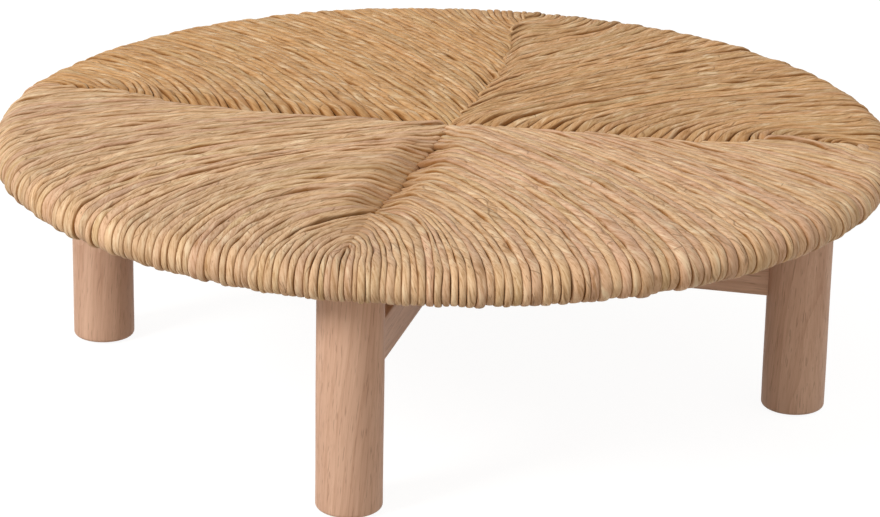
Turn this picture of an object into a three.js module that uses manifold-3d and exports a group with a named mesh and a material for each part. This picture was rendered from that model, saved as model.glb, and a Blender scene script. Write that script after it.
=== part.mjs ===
// Low round table with a woven rush top on four turned legs.
// Millimetres, +Z up. The origin is on the floor under the middle of the table, and each leg stands
// on an axis.

import * as THREE from 'three';
import { mergeVertices } from 'three/addons/utils/BufferGeometryUtils.js';
import Module from 'manifold-3d';

const wasm = await Module();
wasm.setup();

// Whole table
const TABLE_DIAMETER = 1000;
const TABLE_HEIGHT = 296;
const FIT_CLEARANCE = 0.3;
const CUT_OVERRUN = 4;

// Rush top: its rim, its cord and the valleys that run from the middle to the legs
const RIM_THICKNESS = 42;
const RIM_ROUNDING = 30;
const CORD_DIAMETER = 8;
const WEAVE_CENTRE_X = 4;
const WEAVE_CENTRE_Y = 8;
const CENTRE_DEPTH = 4;
const CENTRE_REACH = 100;
const VALLEY_DEPTHS = [5.5, 3, 7, 9.5];
const VALLEY_HALF_WIDTHS = [26, 20, 24, 40];
const VALLEY_FADE_LENGTH = 60;
const VALLEY_END_MARGIN = 8;

// Legs and their glides
const LEG_DIAMETER = 70;
const LEG_INSET = 61;
const LEG_TOP_EASE = 1.5;
const FOOT_EASE = 6;
const GLIDE_DIAMETER = 44;
const GLIDE_THICKNESS = 2;
const GLIDE_PIN_DIAMETER = 3;
const GLIDE_PIN_LENGTH = 12;

// Crossed rails between opposite legs
const RAIL_THICKNESS = 30;
const RAIL_HEIGHT = 48;
const RAIL_DROP = 115;
const RAIL_EDGE_EASE = 2;
const TENON_CHEEK = 9;
const TENON_SHOULDER = 7;
const TENON_LENGTH = 28;

// Countersunk screw through the halved joint of the rails
const SCREW_DIAMETER = 5;
const SCREW_HEAD_DIAMETER = 10;
const SCREW_HEAD_HEIGHT = 3.5;
const SCREW_TIP_COVER = 8;
const SCREW_POINT_LENGTH = 4;

// Wooden ring that the rush is woven round, and the dowels that hold it
const RING_WIDTH = 50;
const DOWEL_DIAMETER = 10;
const DOWEL_DEPTH = 20;
const DOWEL_SPREAD = 24;
const DOWEL_END_EASE = 1;

// Corner blocks, with an insert and a hanger bolt for each leg
const BLOCK_WIDTH = 96;
const BLOCK_CORNER_CUT = 12;
const BOLT_DIAMETER = 8;
const BOLT_DEPTH_IN_LEG = 45;
const BOLT_END_EASE = 1;
const INSERT_WALL = 2;
const INSERT_COVER = 7;
const BOLT_TIP_COVER = 4;

// Counts
const CORNER_COUNT = 4;
const LEG_SIDES = 32;
const GLIDE_SIDES = 20;
const SMALL_ROUND_SIDES = 12;
const SECTOR_STEPS = 20;
const EDGE_STEPS = 8;
const EASE_STEPS = 3;

// How far the sector steps crowd towards the seams
const SEAM_CROWDING_SHARE = 0.3;
// Rings of the woven surface, as shares of the way from the middle to where the valleys start to fade
const WEAVE_RING_SHARES = [0.15, 0.5];

// Levels and radii that follow
const TABLE_RADIUS = TABLE_DIAMETER / 2;
const RIM_TOP = TABLE_HEIGHT;
const RIM_UNDER = TABLE_HEIGHT - RIM_THICKNESS;
const RIM_MIDDLE = (RIM_TOP + RIM_UNDER) / 2;
const POCKET_TOP = RIM_TOP - CORD_DIAMETER;
const POCKET_UNDER = RIM_UNDER + CORD_DIAMETER;
const CORE_TOP = POCKET_TOP - FIT_CLEARANCE;
const CORE_UNDER = POCKET_UNDER + FIT_CLEARANCE;
const CORE_THICKNESS = CORE_TOP - CORE_UNDER;
const CORE_INSET = CORD_DIAMETER + FIT_CLEARANCE;
const LEG_RADIUS = LEG_DIAMETER / 2;
const LEG_CIRCLE_RADIUS = TABLE_RADIUS - LEG_INSET - LEG_RADIUS;
const LEG_TOP = RIM_UNDER - FIT_CLEARANCE;
const LEG_BOTTOM = GLIDE_THICKNESS;
const RAIL_TOP = TABLE_HEIGHT - RAIL_DROP;
const RAIL_UNDER = RAIL_TOP - RAIL_HEIGHT;
const RAIL_MIDDLE = (RAIL_TOP + RAIL_UNDER) / 2;
const RAIL_REACH = LEG_CIRCLE_RADIUS - LEG_RADIUS + TENON_LENGTH;
const TENON_THICKNESS = RAIL_THICKNESS - 2 * TENON_CHEEK;
const TENON_HEIGHT = RAIL_HEIGHT - 2 * TENON_SHOULDER;
const RING_INNER_INSET = CORE_INSET + RING_WIDTH;
const BLOCK_INNER_RADIUS = LEG_CIRCLE_RADIUS - LEG_RADIUS;
const VALLEY_END_RADIUS = BLOCK_INNER_RADIUS - VALLEY_END_MARGIN;
const VALLEY_FADE_RADIUS = VALLEY_END_RADIUS - VALLEY_FADE_LENGTH;
const INSERT_RADIUS = BOLT_DIAMETER / 2 + FIT_CLEARANCE + INSERT_WALL;
const INSERT_TOP = CORE_TOP - INSERT_COVER;
const BOLT_TOP = CORE_TOP - BOLT_TIP_COVER;
const BOLT_BOTTOM = LEG_TOP - BOLT_DEPTH_IN_LEG;

// Angles
const QUARTER_TURN = Math.PI / 2;
const FULL_TURN = 2 * Math.PI;
const SECTOR_ANGLE = FULL_TURN / CORNER_COUNT;
const WIDEST_STEP = (1 + SEAM_CROWDING_SHARE) * SECTOR_ANGLE / SECTOR_STEPS;
const RING_INNER_RADIUS = (TABLE_RADIUS - RING_INNER_INSET) * Math.cos(WIDEST_STEP / 2);
const BLOCK_OUTER_RADIUS = RING_INNER_RADIUS - FIT_CLEARANCE;

const CORNER_NAMES = ['right', 'back', 'left', 'front'];
const SECTOR_NAMES = ['back_right', 'back_left', 'front_left', 'front_right'];

// Materials
function material(color, roughness, metalness = 0) {
  return new THREE.MeshStandardMaterial({ color, roughness, metalness });
}
const rush = () => material('#c79f6b', 0.85);
const legWood = () => material('#b58f76', 0.6);
const frameWood = () => material('#c9ad84', 0.75);
const stuffing = () => material('#a98a62', 0.95);
const steel = () => material('#9b9c9e', 0.4, 1);
const brass = () => material('#b8944a', 0.35, 1);
const nylon = () => material('#3b342e', 0.6);

// A closed geometry as a solid that can be cut
function solidOf(geometry) {
  const bare = geometry.clone();
  bare.deleteAttribute('normal');
  bare.deleteAttribute('uv');
  const merged = mergeVertices(bare);
  const corners = merged.index.array;
  const kept = [];
  for (let i = 0; i < corners.length; i += 3) {
    const [a, b, c] = [corners[i], corners[i + 1], corners[i + 2]];
    if (a !== b && b !== c && c !== a) kept.push(a, b, c);
  }
  const vertProperties = new Float32Array(merged.attributes.position.array);
  const triVerts = new Uint32Array(kept);
  return new wasm.Manifold(new wasm.Mesh({ numProp: 3, vertProperties, triVerts }));
}

// A solid back as a geometry
function geometryOf(solid) {
  const mesh = solid.getMesh();
  const geometry = new THREE.BufferGeometry();
  geometry.setAttribute('position', new THREE.BufferAttribute(mesh.vertProperties, 3));
  geometry.setIndex(new THREE.BufferAttribute(mesh.triVerts, 1));
  return geometry;
}

// A geometry with others cut out of it
function cut(geometry, cutters) {
  let solid = solidOf(geometry);
  for (const cutter of cutters) solid = solid.subtract(solidOf(cutter));
  return geometryOf(solid);
}

// A geometry with another joined to it
function join(geometry, others) {
  let solid = solidOf(geometry);
  for (const other of others) solid = solid.add(solidOf(other));
  return geometryOf(solid);
}

// An upright round bar between two levels
function uprightRound(radius, low, high, sides) {
  const geometry = new THREE.CylinderGeometry(radius, radius, high - low, sides);
  geometry.rotateX(QUARTER_TURN);
  geometry.translate(0, 0, (low + high) / 2);
  return geometry;
}

// A box between two corners
function boxBetween(low, high) {
  const size = high.map((value, axis) => value - low[axis]);
  const geometry = new THREE.BoxGeometry(...size);
  geometry.translate(...low.map((value, axis) => value + size[axis] / 2));
  return geometry;
}

// A round upright solid from a profile of [radius, level] points
function turned(profile, sides) {
  const geometry = new THREE.LatheGeometry(profile.map(([r, z]) => new THREE.Vector2(r, z)), sides);
  geometry.rotateX(QUARTER_TURN);
  return geometry;
}

// Points of a quarter round about a centre, from one angle to another
function arcPoints(centreX, centreY, radius, from, to, steps) {
  const points = [];
  for (let i = 0; i <= steps; i += 1) {
    const angle = from + (to - from) * i / steps;
    points.push([centreX + radius * Math.cos(angle), centreY + radius * Math.sin(angle)]);
  }
  return points;
}

const smooth = (share) => THREE.MathUtils.smoothstep(share, 0, 1);

// Direction of a corner from the middle of the table
const cornerAngle = (corner) => corner * SECTOR_ANGLE;

// Ends of the rays that sweep one sector, crowded towards its two seams
function sectorRays(sector, gap) {
  const start = cornerAngle(sector);
  const slip = Math.asin(gap / 2 / TABLE_RADIUS);
  const rays = [];
  for (let i = 0; i <= SECTOR_STEPS; i += 1) {
    const t = i / SECTOR_STEPS;
    const crowded = t - SEAM_CROWDING_SHARE / FULL_TURN * Math.sin(FULL_TURN * t);
    const angle = start + slip + (SECTOR_ANGLE - 2 * slip) * crowded;
    rays.push(new THREE.Vector2(Math.cos(angle), Math.sin(angle)).multiplyScalar(TABLE_RADIUS));
  }
  return rays;
}

// The inner point of a sector, moved off the seams by half the gap
function sectorMiddle(sector, gap) {
  const bisector = cornerAngle(sector) + SECTOR_ANGLE / 2;
  const shift = gap / 2 / Math.sin(SECTOR_ANGLE / 2);
  return new THREE.Vector2(WEAVE_CENTRE_X, WEAVE_CENTRE_Y)
    .add(new THREE.Vector2(Math.cos(bisector), Math.sin(bisector)).multiplyScalar(shift));
}

// How far the woven surface sinks at a point of a sector, by the deeper of its two valleys
function valleySink(point, sector) {
  const centre = new THREE.Vector2(WEAVE_CENTRE_X, WEAVE_CENTRE_Y);
  const fromCentre = point.clone().sub(centre);
  const fromMiddle = smooth(fromCentre.length() / CENTRE_REACH);
  const outward = 1 - smooth((point.length() - VALLEY_FADE_RADIUS) / VALLEY_FADE_LENGTH);
  const sinks = [sector, sector + 1].map((corner) => {
    const end = new THREE.Vector2(Math.cos(cornerAngle(corner)), Math.sin(cornerAngle(corner)));
    const along = end.multiplyScalar(TABLE_RADIUS).sub(centre).normalize();
    const halfWidth = VALLEY_HALF_WIDTHS[corner % CORNER_COUNT];
    const across = 1 - smooth(Math.abs(along.cross(fromCentre)) / halfWidth);
    const depth = THREE.MathUtils.lerp(CENTRE_DEPTH, VALLEY_DEPTHS[corner % CORNER_COUNT], fromMiddle);
    return depth * across * outward;
  });
  return Math.max(...sinks);
}

// Insets from the rim of the rings that carry the woven surface, from the edge inwards
function ringInsets(firstInset) {
  const insets = [firstInset, TABLE_RADIUS - VALLEY_END_RADIUS, TABLE_RADIUS - VALLEY_FADE_RADIUS];
  for (const share of [...WEAVE_RING_SHARES].reverse()) {
    insets.push(TABLE_RADIUS - VALLEY_FADE_RADIUS * share);
  }
  return insets;
}

// How far in from the rim a profile point lies, with the middle point as the furthest
const depthOf = ([inset]) => (inset === null ? Infinity : inset);

// A profile of [inset, level, side] points swept over one sector. The side is 1 on the upper face, -1 on
// the lower one and 0 on the edge, and the valleys sink the upper and lower faces towards each other.
// A null inset marks the middle point, where all the rays meet. The profile runs out over the top and
// back underneath, so that each of its points faces another one, and the ends are filled between them.
function sweptSector(profile, sector, gap) {
  const rays = sectorRays(sector, gap);
  const middle = sectorMiddle(sector, gap);
  const positions = [];
  const index = [];
  const rings = profile.map(([inset, level, side]) => {
    const count = inset === null ? 1 : rays.length;
    const ring = [];
    for (let i = 0; i < count; i += 1) {
      const point = middle.clone();
      if (inset !== null) point.lerp(rays[i], 1 - inset / rays[i].distanceTo(middle));
      const sink = side * valleySink(point, sector);
      ring.push(positions.length / 3);
      positions.push(point.x, point.y, level - sink);
    }
    return ring;
  });
  const at = (ring, i) => ring[Math.min(i, ring.length - 1)];
  const addFace = (a, b, c) => {
    if (a !== b && b !== c && c !== a) index.push(a, b, c);
  };
  rings.forEach((ring, j) => {
    const nextJ = (j + 1) % rings.length;
    const next = rings[nextJ];
    const inwards = depthOf(profile[nextJ]) > depthOf(profile[j]);
    for (let i = 0; i < SECTOR_STEPS; i += 1) {
      const [a, b, c, d] = [at(ring, i), at(next, i), at(next, i + 1), at(ring, i + 1)];
      if (inwards) {
        addFace(a, b, c);
        addFace(a, c, d);
      } else {
        addFace(a, b, d);
        addFace(b, c, d);
      }
    }
  });
  const last = rings.length - 1;
  for (let a = 0; a < Math.floor(last / 2); a += 1) {
    for (const [b, c] of [[a + 1, last - a - 1], [last - a - 1, last - a]]) {
      addFace(rings[a][0], at(rings[c], 0), at(rings[b], 0));
      addFace(at(rings[a], SECTOR_STEPS), at(rings[b], SECTOR_STEPS), at(rings[c], SECTOR_STEPS));
    }
  }
  const geometry = new THREE.BufferGeometry();
  geometry.setAttribute('position', new THREE.Float32BufferAttribute(positions, 3));
  geometry.setIndex(index);
  return geometry;
}

// The half oval of the rim at a depth below the woven face, from the upper face to the lower one
function edgeProfile(depth) {
  const reach = RIM_ROUNDING - depth;
  const rise = RIM_THICKNESS / 2 - depth;
  return arcPoints(0, 0, 1, QUARTER_TURN, -QUARTER_TURN, EDGE_STEPS).map(([out, up], i) => {
    const side = i === 0 ? 1 : i === EDGE_STEPS ? -1 : 0;
    return [RIM_ROUNDING - reach * out, RIM_MIDDLE + rise * up, side];
  });
}

// One quarter of the rush: an upper and a lower layer of cord, joined round the rim and open along
// the seams
function rushSector(sector) {
  const skin = (depth) => {
    const edge = edgeProfile(depth);
    const insets = ringInsets(RIM_ROUNDING).slice(1);
    const upper = insets.map((inset) => [inset, RIM_TOP - depth, 1]).reverse();
    const lower = insets.map((inset) => [inset, RIM_UNDER + depth, -1]);
    return [[null, RIM_TOP - depth, 1], ...upper, ...edge, ...lower, [null, RIM_UNDER + depth, -1]];
  };
  const profile = [...skin(0), ...skin(CORD_DIAMETER).reverse()];
  const holes = [sector, sector + 1].map((corner) => {
    const radius = BOLT_DIAMETER / 2 + FIT_CLEARANCE;
    const [low, high] = [RIM_UNDER - CUT_OVERRUN, POCKET_UNDER + CUT_OVERRUN];
    const hole = uprightRound(radius, low, high, SMALL_ROUND_SIDES);
    hole.translate(LEG_CIRCLE_RADIUS, 0, 0);
    hole.rotateZ(cornerAngle(corner));
    return hole;
  });
  return cut(sweptSector(profile, sector, FIT_CLEARANCE), holes);
}

// One quarter of the stuffing that fills the pocket between the two layers of rush
function stuffingSector(sector) {
  const insets = ringInsets(RING_INNER_INSET + FIT_CLEARANCE);
  const upper = insets.map((inset) => [inset, CORE_TOP, 1]).reverse();
  const lower = insets.map((inset) => [inset, CORE_UNDER, -1]);
  const profile = [[null, CORE_TOP, 1], ...upper, ...lower, [null, CORE_UNDER, -1]];
  const blocks = [sector, sector + 1].map((corner) => {
    const halfWidth = BLOCK_WIDTH / 2 + FIT_CLEARANCE;
    const low = [BLOCK_INNER_RADIUS - FIT_CLEARANCE, -halfWidth, CORE_UNDER - CUT_OVERRUN];
    const high = [TABLE_RADIUS, halfWidth, CORE_TOP + CUT_OVERRUN];
    return boxBetween(low, high).rotateZ(cornerAngle(corner));
  });
  return cut(sweptSector(profile, sector, FIT_CLEARANCE), blocks);
}

// A dowel lying along +X across the joint between a corner block and the ring
function dowelGeometry(clearance) {
  const radius = DOWEL_DIAMETER / 2 + clearance;
  const half = DOWEL_DEPTH + clearance;
  const ease = DOWEL_END_EASE;
  const profile = [[0, -half], [radius - ease, -half], [radius, ease - half]];
  profile.push([radius, half - ease], [radius - ease, half], [0, half]);
  return turned(profile, SMALL_ROUND_SIDES).rotateY(QUARTER_TURN);
}

// Where the dowels of a corner cross from its block into the ring, one each side of the seam
function dowelPlaces() {
  const x = Math.sqrt(RING_INNER_RADIUS ** 2 - DOWEL_SPREAD ** 2);
  return [-1, 1].map((side) => [x, side * DOWEL_SPREAD, RIM_MIDDLE]);
}

// One quarter of the wooden ring, rounded outside to the shape of the rim, with a dowel hole near each end
function ringRail(sector) {
  const edge = edgeProfile(CORE_INSET).map(([inset, level]) => [inset, level, 0]);
  const profile = [[RING_INNER_INSET, CORE_TOP, 0], ...edge, [RING_INNER_INSET, CORE_UNDER, 0]];
  const holes = [[sector, 1], [sector + 1, 0]].map(([corner, side]) => {
    const hole = dowelGeometry(FIT_CLEARANCE);
    hole.translate(...dowelPlaces()[side]);
    hole.rotateZ(cornerAngle(corner));
    return hole;
  });
  return cut(sweptSector(profile, sector, FIT_CLEARANCE), holes);
}

// A block inside the ring at each leg, bored for the insert and the dowels
function cornerBlock() {
  const halfWidth = BLOCK_WIDTH / 2;
  const halfAngle = Math.asin(halfWidth / BLOCK_OUTER_RADIUS);
  const outer = arcPoints(0, 0, BLOCK_OUTER_RADIUS, -halfAngle, halfAngle, EDGE_STEPS);
  const inner = [
    [BLOCK_INNER_RADIUS + BLOCK_CORNER_CUT, halfWidth],
    [BLOCK_INNER_RADIUS, halfWidth - BLOCK_CORNER_CUT],
    [BLOCK_INNER_RADIUS, BLOCK_CORNER_CUT - halfWidth],
    [BLOCK_INNER_RADIUS + BLOCK_CORNER_CUT, -halfWidth],
  ];
  const shape = new THREE.Shape([...outer, ...inner].map(([x, y]) => new THREE.Vector2(x, y)));
  const body = new THREE.ExtrudeGeometry(shape, { depth: CORE_THICKNESS, bevelEnabled: false });
  body.translate(0, 0, CORE_UNDER);
  const boreStart = CORE_UNDER - CUT_OVERRUN;
  const boreSizes = [[INSERT_RADIUS, INSERT_TOP], [BOLT_DIAMETER / 2, BOLT_TOP]];
  const bores = boreSizes.map(([radius, top]) => {
    const bore = uprightRound(radius + FIT_CLEARANCE, boreStart, top + FIT_CLEARANCE, SMALL_ROUND_SIDES);
    return bore.translate(LEG_CIRCLE_RADIUS, 0, 0);
  });
  const dowelHoles = dowelPlaces().map((place) => dowelGeometry(FIT_CLEARANCE).translate(...place));
  return cut(body, [...bores, ...dowelHoles]);
}

// A leg on its own axis, mortised on the side that faces the middle of the table
function leg() {
  const footCentre = [LEG_RADIUS - FOOT_EASE, LEG_BOTTOM + FOOT_EASE];
  const foot = arcPoints(...footCentre, FOOT_EASE, -QUARTER_TURN, 0, EASE_STEPS);
  const top = [[LEG_RADIUS, LEG_TOP - LEG_TOP_EASE], [LEG_RADIUS - LEG_TOP_EASE, LEG_TOP]];
  const body = turned([[0, LEG_BOTTOM], ...foot, ...top, [0, LEG_TOP]], LEG_SIDES);
  const halfTenon = TENON_THICKNESS / 2 + FIT_CLEARANCE;
  const halfHeight = TENON_HEIGHT / 2 + FIT_CLEARANCE;
  const mortise = boxBetween(
    [-LEG_RADIUS - CUT_OVERRUN, -halfTenon, RAIL_MIDDLE - halfHeight],
    [TENON_LENGTH - LEG_RADIUS + FIT_CLEARANCE, halfTenon, RAIL_MIDDLE + halfHeight],
  );
  const boltRadius = BOLT_DIAMETER / 2 + FIT_CLEARANCE;
  const boltEnd = BOLT_BOTTOM - FIT_CLEARANCE;
  const boltHole = uprightRound(boltRadius, boltEnd, LEG_TOP + CUT_OVERRUN, SMALL_ROUND_SIDES);
  const pinRadius = GLIDE_PIN_DIAMETER / 2 + FIT_CLEARANCE;
  const pinTop = LEG_BOTTOM + GLIDE_PIN_LENGTH + FIT_CLEARANCE;
  const pinHole = uprightRound(pinRadius, LEG_BOTTOM - CUT_OVERRUN, pinTop, SMALL_ROUND_SIDES);
  return cut(body, [mortise, boltHole, pinHole]);
}

// A glide under a leg: a disc on a short pin
function glide() {
  const pinRadius = GLIDE_PIN_DIAMETER / 2;
  const discTop = LEG_BOTTOM - FIT_CLEARANCE;
  const pinTop = LEG_BOTTOM + GLIDE_PIN_LENGTH;
  const discRadius = GLIDE_DIAMETER / 2;
  const disc = [[0, 0], [discRadius, 0], [discRadius, discTop]];
  const pin = [[pinRadius, discTop], [pinRadius, pinTop], [0, pinTop]];
  return turned([...disc, ...pin], GLIDE_SIDES);
}

// A hanger bolt on the axis of its leg, from the leg up into the insert
function hangerBolt() {
  const radius = BOLT_DIAMETER / 2;
  const ease = BOLT_END_EASE;
  const lower = [[0, BOLT_BOTTOM], [radius - ease, BOLT_BOTTOM], [radius, BOLT_BOTTOM + ease]];
  const upper = [[radius, BOLT_TOP - ease], [radius - ease, BOLT_TOP], [0, BOLT_TOP]];
  return turned([...lower, ...upper], SMALL_ROUND_SIDES);
}

// A threaded insert round the bolt, in the corner block
function threadedInsert() {
  const outer = uprightRound(INSERT_RADIUS, CORE_UNDER, INSERT_TOP, SMALL_ROUND_SIDES);
  const boreRadius = BOLT_DIAMETER / 2 + FIT_CLEARANCE;
  const [low, high] = [CORE_UNDER - CUT_OVERRUN, INSERT_TOP + CUT_OVERRUN];
  const bore = uprightRound(boreRadius, low, high, SMALL_ROUND_SIDES);
  return cut(outer, [bore]);
}

// A rail along X with coped shoulders, a tenon at each end, and half its height cut away at the middle
function crossRail(notchAbove) {
  const halfThickness = RAIL_THICKNESS / 2;
  const halfHeight = RAIL_HEIGHT / 2;
  const ease = RAIL_EDGE_EASE;
  const corners = [[1, 1], [-1, 1], [-1, -1], [1, -1]];
  const outline = corners.flatMap(([sideY, sideZ], i) => {
    const centreY = sideY * (halfThickness - ease);
    const centreZ = sideZ * (halfHeight - ease);
    return arcPoints(centreY, centreZ, ease, i * QUARTER_TURN, (i + 1) * QUARTER_TURN, EASE_STEPS);
  });
  const shape = new THREE.Shape(outline.map(([y, z]) => new THREE.Vector2(y, z)));
  const body = new THREE.ExtrudeGeometry(shape, { depth: 2 * LEG_CIRCLE_RADIUS, bevelEnabled: false });
  body.translate(0, 0, -LEG_CIRCLE_RADIUS);
  body.rotateX(QUARTER_TURN);
  body.rotateZ(QUARTER_TURN);
  body.translate(0, 0, RAIL_MIDDLE);
  const [copeLow, copeHigh] = [RAIL_UNDER - CUT_OVERRUN, RAIL_TOP + CUT_OVERRUN];
  const copes = [-1, 1].map((side) => {
    const cope = uprightRound(LEG_RADIUS + FIT_CLEARANCE, copeLow, copeHigh, LEG_SIDES);
    return cope.translate(side * LEG_CIRCLE_RADIUS, 0, 0);
  });
  const notchLow = notchAbove ? RAIL_MIDDLE - FIT_CLEARANCE / 2 : RAIL_UNDER - CUT_OVERRUN;
  const notchHigh = notchAbove ? RAIL_TOP + CUT_OVERRUN : RAIL_MIDDLE + FIT_CLEARANCE / 2;
  const notchHalf = halfThickness + FIT_CLEARANCE;
  const notchReach = halfThickness + CUT_OVERRUN;
  const notch = boxBetween([-notchHalf, -notchReach, notchLow], [notchHalf, notchReach, notchHigh]);
  const tenons = boxBetween(
    [-RAIL_REACH, -TENON_THICKNESS / 2, RAIL_MIDDLE - TENON_HEIGHT / 2],
    [RAIL_REACH, TENON_THICKNESS / 2, RAIL_MIDDLE + TENON_HEIGHT / 2],
  );
  return cut(join(cut(body, copes), [tenons]), [notch, screwHole()]);
}

// The screw of the halved joint, driven up from below, grown by a clearance where it shapes its own hole
function screwGeometry(clearance) {
  const headRadius = SCREW_HEAD_DIAMETER / 2 + clearance;
  const radius = SCREW_DIAMETER / 2 + clearance;
  const headTop = RAIL_UNDER + SCREW_HEAD_HEIGHT + clearance;
  const tip = RAIL_TOP - SCREW_TIP_COVER + clearance;
  const head = [[0, RAIL_UNDER], [headRadius, RAIL_UNDER], [radius, headTop]];
  return turned([...head, [radius, tip - SCREW_POINT_LENGTH], [0, tip]], SMALL_ROUND_SIDES);
}

// The hole for that screw, open below
function screwHole() {
  const mouthRadius = SCREW_HEAD_DIAMETER / 2 + FIT_CLEARANCE;
  const mouthTop = RAIL_UNDER + FIT_CLEARANCE;
  const mouth = uprightRound(mouthRadius, RAIL_UNDER - CUT_OVERRUN, mouthTop, SMALL_ROUND_SIDES);
  return join(screwGeometry(FIT_CLEARANCE), [mouth]);
}

const table = new THREE.Group();

// A named piece in a group, with its place
function addPiece(parent, name, geometry, pieceMaterial, place = [0, 0, 0]) {
  const mesh = new THREE.Mesh(geometry, pieceMaterial);
  mesh.name = name;
  mesh.position.set(...place);
  parent.add(mesh);
}

// The leg, glide, bolt, insert, block and dowels of each corner, in a group turned to its leg
CORNER_NAMES.forEach((name, corner) => {
  const group = new THREE.Group();
  group.rotation.z = cornerAngle(corner);
  table.add(group);
  const legPlace = [LEG_CIRCLE_RADIUS, 0, 0];
  addPiece(group, `leg_${name}`, leg(), legWood(), legPlace);
  addPiece(group, `foot_glide_${name}`, glide(), nylon(), legPlace);
  addPiece(group, `hanger_bolt_${name}`, hangerBolt(), steel(), legPlace);
  addPiece(group, `threaded_insert_${name}`, threadedInsert(), brass(), legPlace);
  addPiece(group, `corner_block_${name}`, cornerBlock(), frameWood());
  dowelPlaces().forEach((place, i) => {
    addPiece(group, `ring_dowel_${name}_${i + 1}`, dowelGeometry(0), frameWood(), place);
  });
});

// The ring rail, stuffing and rush of each sector
SECTOR_NAMES.forEach((name, sector) => {
  addPiece(table, `ring_rail_${name}`, ringRail(sector), frameWood());
  addPiece(table, `stuffing_${name}`, stuffingSector(sector), stuffing());
  addPiece(table, `rush_${name}`, rushSector(sector), rush());
});

// The crossed rails and their screw
const upperRail = new THREE.Group();
upperRail.rotation.z = QUARTER_TURN;
table.add(upperRail);
addPiece(table, 'cross_rail_lower', crossRail(true), legWood());
addPiece(upperRail, 'cross_rail_upper', crossRail(false), legWood());
addPiece(table, 'cross_screw', screwGeometry(0), steel());

export default table;
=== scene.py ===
"""A low round table with a top of woven rush, on four turned legs with crossed rails."""

import math

import bpy
import numpy as np
from mathutils import Matrix, Vector


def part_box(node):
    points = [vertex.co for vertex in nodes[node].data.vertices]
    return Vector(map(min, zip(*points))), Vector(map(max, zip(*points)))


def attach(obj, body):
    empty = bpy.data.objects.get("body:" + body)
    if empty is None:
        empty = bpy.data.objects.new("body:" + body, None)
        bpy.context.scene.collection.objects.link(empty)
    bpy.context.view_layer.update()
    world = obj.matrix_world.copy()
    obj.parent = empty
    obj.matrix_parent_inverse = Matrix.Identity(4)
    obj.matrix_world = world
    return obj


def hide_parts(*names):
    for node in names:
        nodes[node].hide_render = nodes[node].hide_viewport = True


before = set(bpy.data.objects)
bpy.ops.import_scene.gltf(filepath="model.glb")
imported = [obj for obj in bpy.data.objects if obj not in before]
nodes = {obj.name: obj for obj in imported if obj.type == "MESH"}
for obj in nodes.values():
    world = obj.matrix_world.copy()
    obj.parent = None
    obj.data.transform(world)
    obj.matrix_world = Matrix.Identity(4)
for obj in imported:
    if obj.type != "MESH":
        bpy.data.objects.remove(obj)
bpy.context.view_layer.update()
rush_low, rush_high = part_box("rush_front_left")
leg_low, leg_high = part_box("leg_right")

# Table, in metres, from the solids, whose sizes are whole tenths of a millimetre
SIZE_DIGITS = 4
TABLE_RADIUS = round(-rush_low.x, SIZE_DIGITS)
TABLE_TOP = round(rush_high.z, SIZE_DIGITS)
TABLE_UNDER = round(rush_low.z, SIZE_DIGITS)
TABLE_MIDDLE = (TABLE_TOP + TABLE_UNDER) / 2
LEG_CIRCLE = round((leg_low.x + leg_high.x) / 2, SIZE_DIGITS)
LEG_RADIUS = round((leg_high.x - leg_low.x) / 2, SIZE_DIGITS)
LEG_FOOT = round(leg_low.z, SIZE_DIGITS)
LEG_TOP = round(leg_high.z, SIZE_DIGITS)

# Camera, in metres and radians, with its lens and sensor in millimetres
CAMERA_PLACE = (0.813, -3.480, 1.4095)
CAMERA_YAW = -0.2303
CAMERA_PITCH = 0.3427
CAMERA_ROLL = 0.0181
CAMERA_LENS = 137.43
CAMERA_SENSOR = 36.0

# Lamps, with place, size, power and colour, and the point they are aimed at
LAMPS = {
    "key": ((-3.3, -4.0, 3.6), 1.8, 229.0, (1.0, 0.975, 0.94)),
    "fill": ((4.6, -3.2, 1.6), 2.6, 17.0, (1.0, 0.97, 0.92)),
}
LAMP_TARGET = (0.0, 0.0, 0.2)

# World and floor
WHITE = (1.0, 1.0, 1.0, 1.0)
WORLD_COLOUR = (1.0, 0.95, 0.88, 1.0)
WORLD_STRENGTH = 0.55
FLOOR_SIZE = 24.0
FLOOR_COLOUR = (0.50, 0.47, 0.43, 1.0)
SEEN_FLOOR_COLOUR = (0.18, 0.18, 0.18, 1.0)
SEEN_FLOOR_GLOW = 0.93

# Turned legs, in metres, with a slight waver from the lathe in radians per metre
FOOT_EASE = 0.0045
HEAD_EASE = 0.0015
LATHE_WAVER = 0.00012
LATHE_WAVER_RATE = 36.0
LEG_SIDES = 96
FOOT_POINTS = 7
SHAFT_POINTS = 14
HEAD_POINTS = 5

# Middle of the growth rings from a leg's axis, its tilt, and what both change by from leg to leg
PITH_PLACE = np.array([-0.05, 0.045, 0.0])
PITH_PLACE_STEP = np.array([0.03, -0.02, 0.1])
PITH_TILT = np.array([0.05, 0.08, 0.0])
PITH_TILT_STEP = np.array([-0.03, 0.0, 0.0])
LOWER_RAIL_PITH = (0.0, 0.06, 0.2)
UPPER_RAIL_PITH = (0.05, 0.0, 0.2)
FRAME_PITH = (0.0, 0.0, 0.1)
UPRIGHT = (0.0, 0.0, 0.0)
LEG_RING_PITCH = 0.010
FRAME_RING_PITCH = 0.015

# Depth of the relief in each kind of surface
RUSH_RELIEF = 0.0009
WOOD_RELIEF = 0.0003
PLAIN_RELIEF = 0.0002
METAL_RELIEF = 0.00005

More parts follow.
